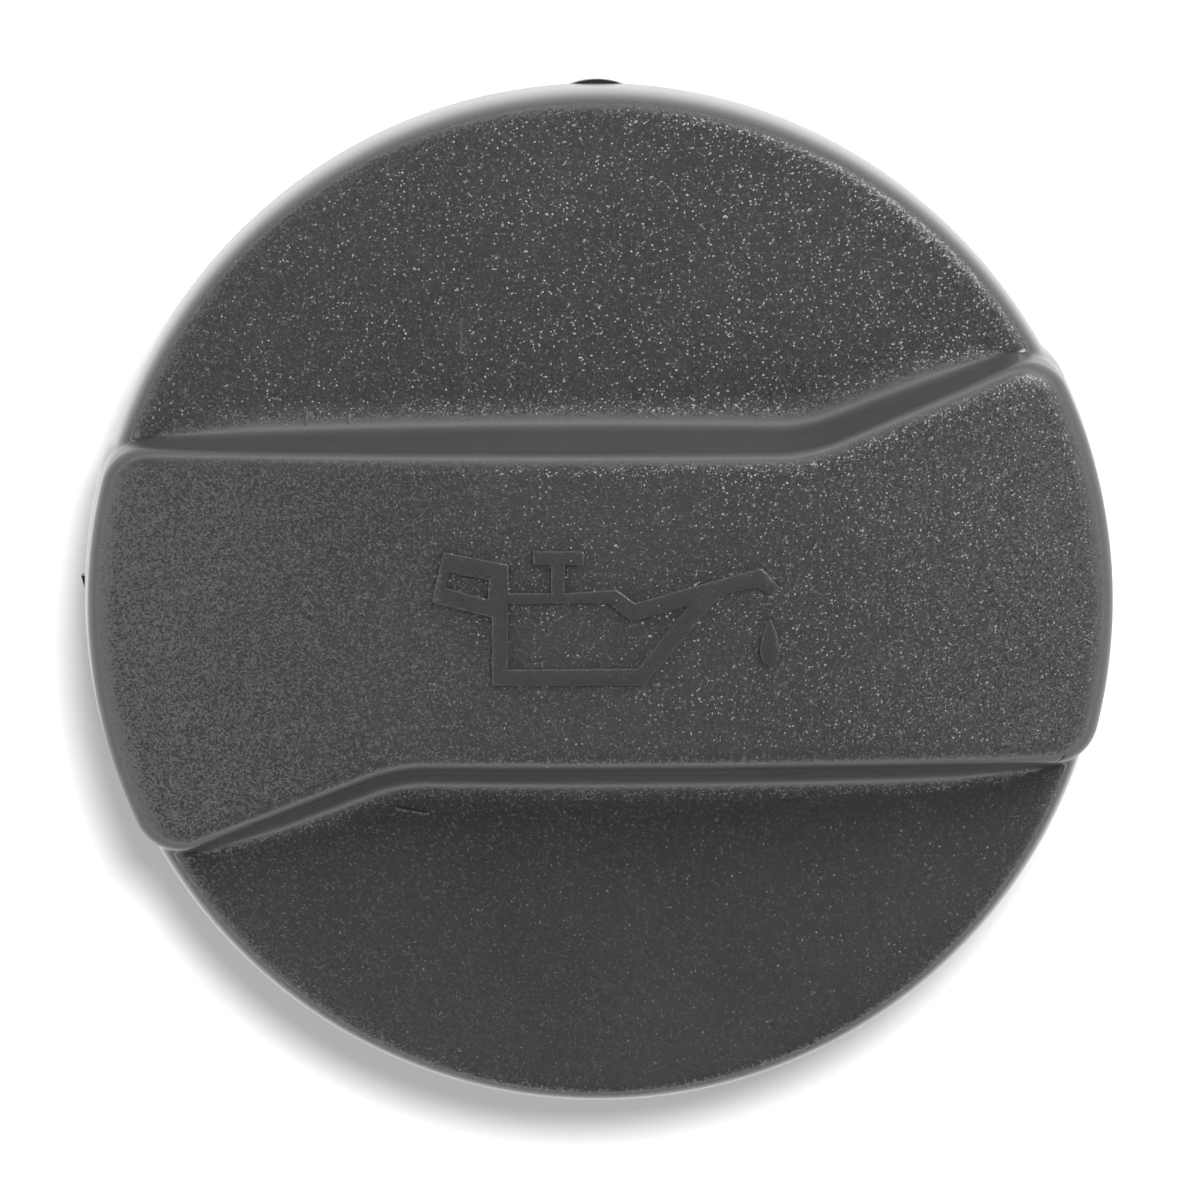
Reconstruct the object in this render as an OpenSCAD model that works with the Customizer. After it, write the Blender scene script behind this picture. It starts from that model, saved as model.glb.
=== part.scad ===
// Oil filler cap with a bayonet fitting and an S-shaped grip bar.
// +Z runs up the cap's axis, the grip bar lies along X, and z = 0 is the free end of the spigot.

/* [Disc and skirt] */
// Radius of the disc where its rounded edge meets the skirt
disc_r = 34.75; // [33.5:0.05:35.2]
// Radius of the rounded edge between the disc and the skirt
rim_round = 2.1; // [1:0.1:2.6]
// Height of the skirt below the rounded edge
skirt_h = 8.6; // [8:0.1:12]
// Outward lean of the skirt
skirt_draft = 2.5; // [0.5:0.1:3]
// Thickness of the disc and the skirt
shell_wall = 2.4; // [1.8:0.1:2.8]

/* [Grip bar] */
// Half the width between the two long top edges
grip_half_w = 10.95; // [9:0.05:12]
// Height of the grip bar above the disc at the centre
grip_rise = 7.2; // [6:0.1:9]
// Radius of the arch along the top of the grip bar
arch_r = 135; // [120:5:400]
// Distance from the axis to the bend in each long edge
bend_x = 14; // [10:0.5:17]
// Angle by which the edge flares out beyond the bend
flare_angle = 22; // [14:1:25]
// Radius of the bend in plan
bend_r = 12; // [8:1:20]
// Radius of the two end walls at their top edge
grip_end_r = 35.1; // [34.8:0.1:36.2]
// Radius of the four corners in plan
corner_r = 3.2; // [2.6:0.1:4]
// Lean of the long walls
wall_draft = 11; // [6:1:13]
// Lean of the end walls
end_draft = 2.2; // [0.5:0.1:3]
// Radius of the rounded top edge
top_round = 1.7; // [1:0.1:1.9]
// Radius of the hollow between the long walls and the disc
foot_round = 1.2; // [0.6:0.1:1.4]
// Thickness of the grip bar's walls and roof
grip_wall = 2.3; // [1.8:0.1:2.8]
// Number of stiffening ribs across the hollow grip bar
grip_ribs = 5; // [1:2:7]
// Thickness of a stiffening rib
grip_rib_t = 1.4; // [1:0.1:1.8]

/* [Bayonet insert] */
// Outside radius of the spigot that enters the filler neck
spigot_r = 19.5; // [18:0.1:20.5]
// Thickness of the spigot's wall
spigot_wall = 2.2; // [1.8:0.1:2.8]
// Length of the spigot below the rim of the skirt
spigot_drop = 17; // [14:0.5:20]
// Chamfer round the spigot's free end
spigot_chamfer = 1; // [0.5:0.1:1.4]
// Thickness of the flange that closes the top of the spigot
flange_t = 2.2; // [1.8:0.1:2.8]
// Gap between the flange and the skirt
flange_gap = 0.5; // [0.3:0.1:0.8]
// Reach of the bayonet lugs beyond the spigot
lug_reach = 3.2; // [2.4:0.1:3.6]
// Height of a bayonet lug
lug_h = 4; // [3:0.1:5]
// Angle that a bayonet lug covers
lug_angle = 56; // [40:1:70]
// Height of a lug's lower face above the spigot's free end
lug_z = 2.4; // [1.6:0.1:4]
// Slope of the lead-in on a lug's upper face
ramp_slope = 12; // [8:1:16]
// Share of the lug that the lead-in takes
ramp_share = 0.45; // [0.3:0.05:0.6]
// Width of the stop at the end of each lug
stop_w = 2.4; // [1.8:0.1:3]
// Rise of the stop above its lug
stop_h = 2.6; // [2:0.1:3.2]
// Radius of the inner corner where the spigot meets the flange
spigot_fillet = 1.5; // [0.5:0.1:2]

/* [Drive legs] */
// Width of the four legs that reach down to the rim of the skirt
leg_w = 3.8; // [3:0.1:5]
// Thickness of a leg
leg_t = 1.6; // [1.2:0.1:2]
// Gap between a leg and the skirt
leg_gap = 0.3; // [0.2:0.1:0.5]
// Height of the foot at the end of a leg
toe_h = 1.6; // [1.2:0.1:2.4]
// Depth of the notch in the rim that a foot sits in
notch_h = 0.7; // [0.4:0.1:1]
// Clearance round a foot in its notch
notch_gap = 0.15; // [0.1:0.05:0.25]
// Reach of the two plain feet beyond the rim
plain_proud = 0.25; // [0.1:0.05:0.6]
// Reach of the two ramped feet beyond the grip bar's end walls
ramp_proud = 0.3; // [0.1:0.05:0.6]
// Width of a ramped foot from its steep face to the middle of the leg
ramp_side = 0.9; // [0.5:0.1:1.4]
// Drop of the ramp from the steep face to the far side
ramp_drop = 0.8; // [0.4:0.1:1.2]
// Reach of the nibs that hold the flange up inside the skirt
nib_reach = 0.9; // [0.7:0.1:1.3]
// Height of a nib
nib_h = 1.6; // [1.2:0.1:2]
// Angle that a nib covers
nib_angle = 16; // [10:1:24]
// Gap between a nib and the flange
nib_gap = 0.1; // [0.05:0.05:0.2]

/* [Seal ring] */
// Outside radius of the seal ring
seal_r = 25.6; // [24:0.1:26]
// Thickness of the seal ring
seal_t = 2.6; // [2:0.1:3.2]
// Width of the sealing lip
lip_w = 1.6; // [1:0.1:2.2]
// Height of the sealing lip
lip_h = 0.7; // [0.4:0.1:1]
// Gap between the seal ring and the spigot
seal_gap = 0.1; // [0.05:0.05:0.2]
// Reach of the bead that keeps the seal ring on the spigot
bead = 0.6; // [0.4:0.1:0.9]

/* [Hidden] */
$fn = 96;

// Small overlap that makes neighbouring shapes one solid
eps = 0.02;

// Heights along the axis
skirt_z = spigot_drop;
face_z = skirt_z + skirt_h + rim_round;
ceiling_z = face_z - shell_wall;
flange_z = ceiling_z - flange_t;
seal_z = flange_z - seal_t;
toe_z = skirt_z + notch_h - notch_gap - toe_h;
top_z = face_z + grip_rise;

// Radii that follow the skirt
skirt_r = disc_r + skirt_h * tan(skirt_draft);
skirt_in_r = disc_r - shell_wall;
flange_r = skirt_in_r - flange_gap;
leg_r = skirt_in_r - leg_gap;
plain_r = skirt_r + plain_proud;
bore_r = spigot_r - spigot_wall;

// Outline of the grip bar in plan, at the foot of its rounded top edge

// Steps along each stretch of half of the outline
end_steps = 7;
corner_steps = 6;
edge_steps = 40;

// The bend is an arc that starts at bend_in and ends at bend_out
bend_in = bend_x - bend_r * tan(flare_angle / 2);
bend_out = bend_in + bend_r * sin(flare_angle);

// Rise of the edge over its straight stretch, and its slope, at a distance x along the bar
function edge_rise(x) =
    x < bend_in ? 0
    : x < bend_out ? bend_r - sqrt(pow(bend_r, 2) - pow(x - bend_in, 2))
    : bend_r * (1 - cos(flare_angle)) + (x - bend_out) * tan(flare_angle);
function edge_slope(x) =
    x < bend_in ? 0 : x < bend_out ? asin((x - bend_in) / bend_r) : flare_angle;

// Centres of the round corner at each end of the upper edge
corner_reach = grip_end_r - corner_r;
square_corner = [-sqrt(pow(corner_reach, 2) - pow(grip_half_w - corner_r, 2)), grip_half_w - corner_r];
flare_dir = [cos(flare_angle), sin(flare_angle)];
flare_normal = [-sin(flare_angle), cos(flare_angle)];
flare_start = [bend_out, grip_half_w + edge_rise(bend_out)] - corner_r * flare_normal;
flare_along = flare_start * flare_dir;
flare_run = -flare_along + sqrt(pow(flare_along, 2) - flare_start * flare_start + pow(corner_reach, 2));
flare_corner = flare_start + flare_run * flare_dir;
flare_turn = atan2(flare_corner.y, flare_corner.x);
square_turn = atan2(square_corner.y, square_corner.x);
end_mid = (flare_turn + square_turn - 180) / 2;

// The upper edge runs between these two points
edge_from = flare_corner + corner_r * flare_normal;
edge_to = square_corner + [0, corner_r];
edge_from_turn = atan2(edge_from.y, edge_from.x);
edge_to_turn = atan2(edge_to.y, edge_to.x);

// A point of the outline is [x, y, direction of its outward normal, lean of its wall]
function polar(r, a) = [r * cos(a), r * sin(a)];
function mix(a, b, t) = a + (b - a) * t;
function end_point(a) = concat(polar(grip_end_r, a), [a, end_draft]);
function corner_point(c, a, lean) = concat(c + polar(corner_r, a), [a, lean]);
function edge_point(x) = [x, grip_half_w + edge_rise(x), 90 + edge_slope(x), wall_draft];

// Distance along the bar at which its edge crosses the ray from the axis at angle a, halved down to find it
function ray_x(a, low, high, tries = 24) =
    let (middle = (low + high) / 2)
    tries == 0 ? middle
    : atan2(grip_half_w + edge_rise(middle), middle) > a ? ray_x(a, middle, high, tries - 1)
    : ray_x(a, low, middle, tries - 1);

half_outline = concat(
    [for (i = [0 : end_steps - 1]) end_point(mix(end_mid, flare_turn, i / end_steps))],
    [for (i = [0 : corner_steps - 1]) let (t = i / corner_steps)
        corner_point(flare_corner, mix(flare_turn, 90 + flare_angle, t), mix(end_draft, wall_draft, t))],
    [for (i = [0 : edge_steps - 1])
        edge_point(ray_x(mix(edge_from_turn, edge_to_turn, i / edge_steps), edge_to.x, edge_from.x))],
    [for (i = [0 : corner_steps - 1]) let (t = i / corner_steps)
        corner_point(square_corner, mix(90, square_turn, t), mix(wall_draft, end_draft, t))],
    [for (i = [0 : end_steps - 1]) end_point(mix(square_turn, 180 + end_mid, i / end_steps))]
);
outline = concat(half_outline, [for (p = half_outline) [-p.x, -p.y, p[2] + 180, p[3]]]);
loop_n = len(outline);

// Height of the arched top at a distance x along the bar
function arch_z(x) = top_z - arch_r + sqrt(pow(arch_r, 2) - pow(x, 2));

// Point of the rounded top edge: turn 0 is where the wall ends, turn 1 is where the roof begins
function round_point(p, turn) =
    let (a = mix(p[3], 90, turn), q = [p.x, p.y] - polar(top_round * (cos(p[3]) - cos(a)), p[2]))
    [q.x, q.y, arch_z(q.x) - top_round * (1 - sin(a))];

// Point of the wall at a height z: it leans as drawn down to the disc's rounded edge and then as the skirt does
round_z = face_z - rim_round;
function wall_out(p, edge_z, z) =
    (edge_z - max(z, round_z)) * tan(p[3]) + max(0, round_z - z) * tan(skirt_draft);
function wall_xy(p, z) =
    let (edge = round_point(p, 0)) [edge.x, edge.y] + polar(wall_out(p, edge.z, z), p[2]);

// Radius of the disc's rounded edge and of the skirt at a height z
flat_r = disc_r - rim_round;
function body_r(z) =
    z > round_z ? flat_r + sqrt(max(0, pow(rim_round, 2) - pow(z - round_z, 2)))
    : disc_r + (round_z - z) * tan(skirt_draft);

// Height at which a wall meets the rounded edge, halved down between low and high
function meet_z(p, low, high, tries = 16) =
    let (middle = (low + high) / 2)
    tries == 0 ? middle
    : norm(wall_xy(p, middle)) > body_r(middle) ? meet_z(p, low, middle, tries - 1)
    : meet_z(p, middle, high, tries - 1);

// Height at which the wall ends: on the flat disc, on its rounded edge, or at the rim of the skirt
function wall_end_z(p) =
    norm(wall_xy(p, face_z)) < flat_r ? face_z
    : norm(wall_xy(p, round_z)) > body_r(round_z) ? skirt_z
    : meet_z(p, round_z, face_z);
end_z = [for (p = outline) wall_end_z(p)];

// Each wall meets the disc or the skirt on the ray from the axis on which its column runs out to the rim
half_n = loop_n / 2;
function rim_angle(i) = let (q = wall_xy(outline[i], end_z[i])) atan2(q.y, q.x);

// The hollow at the foot of a wall fades out towards the disc's rounded edge and is absent on the end walls,
// where its points spread up the plain wall between the two heights of plain_foot
foot_fade = 3;
plain_foot = [0.1, 0.7];
function foot_share(p) = max(0, min(1, (flat_r - norm(wall_xy(p, face_z))) / foot_fade));
function foot_push(turn) =
    let (a = turn * (90 - wall_draft))
    foot_round * (cos(wall_draft) - sin(a) + (sin(wall_draft) - cos(a)) * tan(wall_draft));
function foot_rise(turn) = foot_round * (1 - cos(turn * (90 - wall_draft)));

// Point of the hollow at the foot: turn 0 is on the disc, turn 1 is where the wall begins
function foot_point(p, turn) =
    let (share = foot_share(p), plain = mix(plain_foot[0], plain_foot[1], turn))
    let (z = face_z + mix(plain, foot_rise(turn), share))
    let (q = wall_xy(p, z) + polar(share * foot_push(turn), p[2]))
    [q.x, q.y, z];

// Point at a height z below the disc: on the wall as far as it reaches, then on the rounded edge or the skirt
function side_point(i, z) =
    let (on_wall = z > end_z[i] || end_z[i] == skirt_z)
    let (q = on_wall ? wall_xy(outline[i], z) : polar(body_r(z), rim_angle(i)))
    [q.x, q.y, z];

// Rings of points from the rim of the skirt up to the roof
foot_steps = 4;
round_steps = 6;
rim_steps = 6;
ids = [0 : loop_n - 1];
rings = concat(
    [[for (i = ids) side_point(i, skirt_z)]],
    [for (k = [0 : rim_steps]) [for (i = ids) side_point(i, round_z + rim_round * sin(90 * k / rim_steps))]],
    [for (k = [0 : foot_steps]) [for (p = outline) foot_point(p, k / foot_steps)]],
    [for (k = [0 : round_steps]) [for (p = outline) round_point(p, k / round_steps)]]
);
ring_n = len(rings);

// Disc, skirt and grip bar as one skin over the rings, closed by strips across the roof
module head_skin() {
    skin = [for (j = [0 : ring_n - 2], i = ids) let (k = (i + 1) % loop_n)
        each [[j * loop_n + i, (j + 1) * loop_n + k, j * loop_n + k],
              [j * loop_n + i, (j + 1) * loop_n + i, (j + 1) * loop_n + k]]];
    last = (ring_n - 1) * loop_n;
    roof = [for (i = [0 : half_n - 1]) let (a = i, b = i + 1, c = (loop_n - i) % loop_n, d = loop_n - i - 1)
        each concat(i == 0 ? [] : [[last + a, last + c, last + b]],
                    i == half_n - 1 ? [] : [[last + b, last + c, last + d]])];
    rim = [[for (i = ids) i]];
    polyhedron(points = [for (r = rings) each r], faces = concat(skin, roof, rim), convexity = 6);
}

// Space inside the grip bar, open towards the disc, with the stiffening ribs left standing
module grip_hollow() {
    rib_pitch = 2 * (corner_reach - grip_wall) / (grip_ribs + 1);
    difference() {
        intersection() {
            translate([0, 0, ceiling_z - eps])
                linear_extrude(grip_rise + shell_wall)
                    polygon([for (p = outline) [p.x, p.y] - polar(grip_wall, p[2])]);
            translate([0, 0, top_z - arch_r])
                rotate([90, 0, 0])
                    cylinder(r = arch_r - grip_wall, h = 4 * grip_end_r, center = true, $fn = 4 * $fn);
            translate([0, 0, ceiling_z - eps])
                cylinder(r = flange_r, h = grip_rise + shell_wall + eps);
        }
        for (i = [1 : grip_ribs])
            translate([(i - (grip_ribs + 1) / 2) * rib_pitch - grip_rib_t / 2, -grip_end_r, face_z - shell_wall])
                cube([grip_rib_t, 2 * grip_end_r, grip_rise + shell_wall]);
    }
}

// Space under the disc
module cap_cavity() {
    translate([0, 0, skirt_z - 1])
        cylinder(r = skirt_in_r, h = ceiling_z - skirt_z + 1);
}

// Notch in the rim of the skirt for one foot, on +X
module rim_notch() {
    translate([skirt_in_r - 1, -leg_w / 2 - notch_gap, skirt_z - 1])
        cube([grip_end_r, leg_w + 2 * notch_gap, notch_h + 1]);
}

// Four nibs inside the skirt that hold the flange of the insert
module flange_nibs() {
    nib_top = flange_z - nib_gap;
    for (a = [45 : 90 : 315])
        rotate(a - nib_angle / 2)
            rotate_extrude(angle = nib_angle)
                polygon([[skirt_in_r + shell_wall / 2, nib_top - nib_h], [skirt_in_r, nib_top - nib_h],
                         [skirt_in_r - nib_reach, nib_top - nib_h / 3], [skirt_in_r - nib_reach, nib_top],
                         [skirt_in_r + shell_wall / 2, nib_top]]);
}

module grip_head() {
    color([0.2, 0.2, 0.21]) {
        difference() {
            head_skin();
            cap_cavity();
            grip_hollow();
            for (a = [0 : 90 : 270])
                rotate(a)
                    rim_notch();
        }
        flange_nibs();
    }
}

// Side view of a bayonet lug: lead-in, flat and stop, drawn along Y and Z
module lug_profile() {
    lug_top = lug_z + lug_h;
    half = (spigot_r + lug_reach) * sin(lug_angle / 2);
    ramp_end = half * (2 * ramp_share - 1);
    rotate([90, 0, 90])
        linear_extrude(2 * spigot_r)
            polygon([[-half, lug_z], [half, lug_z], [half, lug_top + stop_h], [half - stop_w, lug_top + stop_h],
                     [half - stop_w, lug_top], [ramp_end, lug_top],
                     [-half, lug_top - (ramp_end + half) * tan(ramp_slope)]]);
}

// One bayonet lug on +X, cut from a ring round the spigot
module lug() {
    lug_r = spigot_r + lug_reach;
    root_r = spigot_r - spigot_wall / 2;
    intersection() {
        rotate_extrude()
            polygon([[root_r, 0], [lug_r - spigot_chamfer, 0], [lug_r - spigot_chamfer, lug_z],
                     [lug_r, lug_z + spigot_chamfer], [lug_r, flange_z], [root_r, flange_z]]);
        lug_profile();
    }
}

// One leg on +X with the foot that sits in the rim's notch
module drive_leg() {
    translate([leg_r - leg_t, -leg_w / 2, toe_z])
        cube([leg_t, leg_w, ceiling_z - toe_z]);
}

// Plain foot, rounded to follow the rim
module plain_toe() {
    intersection() {
        translate([leg_r - leg_t, -leg_w / 2, toe_z])
            cube([plain_r, leg_w, toe_h]);
        translate([0, 0, toe_z])
            cylinder(r = plain_r, h = toe_h);
    }
}

// Ramped foot, steep on one side and sloping away on the other
module ramped_toe() {
    tip_r = norm([rings[0][0].x, rings[0][0].y]) + ramp_proud;
    translate([0, 0, toe_z])
        linear_extrude(toe_h)
            polygon([[leg_r - leg_t, -ramp_side], [tip_r, -ramp_side],
                     [tip_r - ramp_drop, leg_w / 2], [leg_r - leg_t, leg_w / 2]]);
}

// Spigot, flange and the bead below the seal ring as one turned solid
module spigot() {
    rotate_extrude()
        polygon([[0, flange_z], [bore_r, flange_z], [bore_r, 0], [spigot_r - spigot_chamfer, 0],
                 [spigot_r, spigot_chamfer], [spigot_r, seal_z - seal_gap - 2 * bead],
                 [spigot_r + bead, seal_z - seal_gap - bead], [spigot_r, seal_z - seal_gap],
                 [spigot_r, flange_z], [flange_r, flange_z], [flange_r, ceiling_z], [0, ceiling_z]]);
}

// Rounded inner corner between the spigot and the flange
module spigot_corner() {
    rotate_extrude()
        translate([bore_r - spigot_fillet, flange_z - spigot_fillet])
            difference() {
                square([spigot_fillet + spigot_wall / 2, spigot_fillet + flange_t / 2]);
                circle(r = spigot_fillet);
            }
}

module bayonet_insert() {
    color([0.09, 0.09, 0.095]) {
        spigot();
        spigot_corner();
        for (a = [0, 180])
            rotate(a) {
                lug();
                ramped_toe();
            }
        for (a = [90, 270])
            rotate(a)
                plain_toe();
        for (a = [0 : 90 : 270])
            rotate(a)
                drive_leg();
    }
}

module seal_ring() {
    color([0.04, 0.04, 0.04])
        rotate_extrude()
            polygon([[spigot_r + seal_gap, seal_z], [seal_r - lip_w, seal_z], [seal_r - lip_w / 2, seal_z - lip_h],
                     [seal_r, seal_z], [seal_r, flange_z], [spigot_r + seal_gap, flange_z]]);
}

grip_head();
bayonet_insert();
seal_ring();
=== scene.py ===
# Engine oil filler cap, seen from above, standing on its spigot
import math

import bmesh
import bpy
from mathutils import Matrix, Vector


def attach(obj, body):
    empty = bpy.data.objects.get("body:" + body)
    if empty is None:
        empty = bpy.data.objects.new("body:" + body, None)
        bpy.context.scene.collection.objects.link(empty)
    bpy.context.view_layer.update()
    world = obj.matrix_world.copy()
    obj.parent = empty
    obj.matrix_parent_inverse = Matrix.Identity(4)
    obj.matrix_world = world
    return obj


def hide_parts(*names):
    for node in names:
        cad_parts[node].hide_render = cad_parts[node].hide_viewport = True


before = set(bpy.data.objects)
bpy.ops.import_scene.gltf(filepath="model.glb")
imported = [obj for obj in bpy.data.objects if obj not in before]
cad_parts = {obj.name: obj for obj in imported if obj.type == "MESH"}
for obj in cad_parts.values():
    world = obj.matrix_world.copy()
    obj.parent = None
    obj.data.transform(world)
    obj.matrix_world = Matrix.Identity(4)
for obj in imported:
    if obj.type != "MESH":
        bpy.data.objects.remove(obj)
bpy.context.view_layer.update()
mm = 0.001  # all sizes below are in millimetres
mergeGap = 1e-7  # points closer than this are one point, in metres
spare = 1  # how far a cutting shape reaches past what it cuts
sliceSnap = 0.03  # a cut this close to a point goes through the point
ringSnap = 0.01  # how exactly roundRings finds its rings
halvings = 24  # how often the search for the end of a wall halves its range
print("frame loaded")


def mix(a, b, t):
    return a + (b - a) * t


def fade(t, start, width):
    # 0 up to start, 1 from start + width on
    return max(0, min(1, (t - start) / width))


def polar(radius, angle):
    return Vector((radius * math.cos(angle), radius * math.sin(angle)))


def spread(count, closed=False):
    # even steps from 0 to 1, with or without the last one
    return [i / count for i in range(count + (1 if closed else 0))]


def startRing(bm, places):
    ring = [bm.verts.new(Vector(place) * mm) for place in places]
    for i, vert in enumerate(ring):
        bm.edges.new((ring[i - 1], vert))
    return ring


def growRing(bm, ring, places):
    # pull a new ring of quads out of the last one and set its points
    edges = [bm.edges.get((ring[i - 1], ring[i])) for i in range(len(ring))]
    made = bmesh.ops.extrude_edge_only(bm, edges=edges)["geom"]
    fresh = {item for item in made if isinstance(item, bmesh.types.BMVert)}
    grown = [next(e.other_vert(v) for e in v.link_edges if e.other_vert(v) in fresh) for v in ring]
    for vert, place in zip(grown, places):
        vert.co = Vector(place) * mm
    return grown


def sliceAlongX(bm, faces, reach, pitch):
    # cut flat faces into narrow strips so that they can follow the arch
    x = -reach
    while x < reach:
        geom = list(faces) + list({e for f in faces for e in f.edges})
        geom += list({v for f in faces for v in f.verts})
        cut = bmesh.ops.bisect_plane(bm, geom=geom, plane_co=(x * mm, 0, 0), plane_no=(1, 0, 0),
                                     dist=sliceSnap * mm)
        faces = [item for item in cut["geom"] if isinstance(item, bmesh.types.BMFace)]
        x += pitch
    return faces


def sharpen(bm, angle):
    for edge in bm.edges:
        edge.smooth = edge.calc_face_angle(0) < math.radians(angle)
    for face in bm.faces:
        face.smooth = True


def looseObject(name, bm):
    mesh = bpy.data.meshes.new(name)
    bm.to_mesh(mesh)
    bm.free()
    piece = bpy.data.objects.new(name, mesh)
    bpy.context.scene.collection.objects.link(piece)
    return piece


def combine(piece, bm, operation):
    # join another closed shape to the piece, or cut it out, and keep the result as plain mesh
    other = looseObject("cutter", bm)
    modifier = piece.modifiers.new("combine", "BOOLEAN")
    modifier.object, modifier.operation, modifier.solver = other, operation, "MANIFOLD"
    whole = piece.evaluated_get(bpy.context.evaluated_depsgraph_get())
    old, piece.data = piece.data, bpy.data.meshes.new_from_object(whole)
    piece.modifiers.clear()
    bpy.data.meshes.remove(old)
    bpy.data.meshes.remove(other.data)


def block(bm, low, high):
    # box between two corners
    low, high = Vector(low) * mm, Vector(high) * mm
    verts = bmesh.ops.create_cube(bm, size=1)["verts"]
    bmesh.ops.scale(bm, verts=verts, vec=high - low)
    bmesh.ops.translate(bm, verts=verts, vec=(low + high) / 2)
    return verts


def extrudeUp(bm, points, low, high):
    # flat outline in plan pulled up to a closed shape
    face = bm.faces.new([bm.verts.new((x * mm, y * mm, low * mm)) for x, y in points])
    made = bmesh.ops.extrude_face_region(bm, geom=[face], use_keep_orig=True)["geom"]
    raised = [item for item in made if isinstance(item, bmesh.types.BMVert)]
    bmesh.ops.translate(bm, verts=raised, vec=(0, 0, (high - low) * mm))
    bmesh.ops.recalc_face_normals(bm, faces=bm.faces)
    return bm


def turned(bm, profile, steps=144):
    # spin a line of radius and height pairs about the axis
    verts = [bm.verts.new((r * mm, 0, z * mm)) for r, z in profile]
    edges = [bm.edges.new(pair) for pair in zip(verts, verts[1:])]
    bmesh.ops.spin(bm, geom=verts + edges, cent=(0, 0, 0), axis=(0, 0, 1), angle=2 * math.pi, steps=steps,
                   use_merge=True)
    bmesh.ops.remove_doubles(bm, verts=bm.verts, dist=mergeGap)
    bmesh.ops.recalc_face_normals(bm, faces=bm.faces)


def roundRings(bm, corners, segments=4):
    # each corner is radius, height, size of its rounding
    for radius, height, size in corners:
        ring = [e for e in bm.edges if all(abs(v.co.z / mm - height) < ringSnap and
                                           abs(v.co.xy.length / mm - radius) < ringSnap for v in e.verts)]
        bmesh.ops.bevel(bm, geom=ring, offset=size * mm, offset_type="OFFSET", affect="EDGES",
                        segments=segments, profile=0.5, material=-1)


def turnBy(bm, quarters):
    turn = Matrix.Rotation(quarters * math.pi / 2, 3, "Z")
    bmesh.ops.rotate(bm, verts=bm.verts, cent=(0, 0, 0), matrix=turn)
    return bm


def finishPiece(piece, material, angle):
    bm = bmesh.new()
    bm.from_mesh(piece.data)
    sharpen(bm, angle)
    bm.to_mesh(piece.data)
    bm.free()
    piece.data.materials.clear()
    piece.data.materials.append(material)
    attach(piece, "root")


# head: disc, skirt and S-shaped grip bar
head = dict(
    discRadius=34.75, rimRound=2.1, rimCurve=4, rimBottom=17, skirtHeight=8.6, skirtLean=2.5, shellWall=2.4,
    barHalfWidth=10.95, barRise=7.2, archRadius=135, bendX=14, flare=22, bendRadius=12,
    endRadius=35.1, cornerRadius=3.2, wallLean=11, endLean=2.2, topRound=1.7,
    footRound=2.7, footFade=6,  # hollow at the foot of the bar, and how far from the edge it fades out
    footStep=(0.1, 0.7),  # height of what is left of it there, low and high end
    barWall=2.3, hollowRadius=31.85, ribs=5, ribWidth=1.4, ribPitch=9.867, ribGap=0.2,
    lipRound=0.35, notchHeight=0.7, notchWidth=4.1,
    nibReach=0.9, nibHeight=1.6, nibAngle=16, nibTop=23.0, nibSink=1.2,
    wedge=(20, 40),  # radii between which the nibs are cut out of a ring
    # where the grain fades, as start and width, and its strength on the lower half of the disc
    topGrain=(0.45, 0.4), footGrain=(0.5, 0.2), rimGrain=(0.4, 0.45), lowerGrain=0.75,
    # how finely the outline and the rings are divided
    endSteps=26, cornerSteps=16, edgeSteps=120,
    topSteps=9, footSteps=10, rimSteps=12, skirtSteps=8, lipSteps=4, wallRings=(0.06, 0.5, 0.94),
    edgeBand=0.25, lipBand=0.3,  # narrow strips beside an edge, which keep its shading clean
    roofStrips=(33, 1), undersideStrips=(31, 1.5),  # reach and pitch
    sharpAngle=40,
)
faceZ = head["rimBottom"] + head["skirtHeight"] + head["rimRound"]
roundZ = faceZ - head["rimRound"]
ceilingZ = faceZ - head["shellWall"]
flatRadius = head["discRadius"] - head["rimRound"]
innerRadius = head["discRadius"] - head["shellWall"]
topZ = faceZ + head["barRise"]
wallLean = math.radians(head["wallLean"])
endLean = math.radians(head["endLean"])
skirtSlope = math.tan(math.radians(head["skirtLean"]))


def archZ(x):
    return topZ - head["archRadius"] + math.sqrt(head["archRadius"] ** 2 - x * x)


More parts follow.
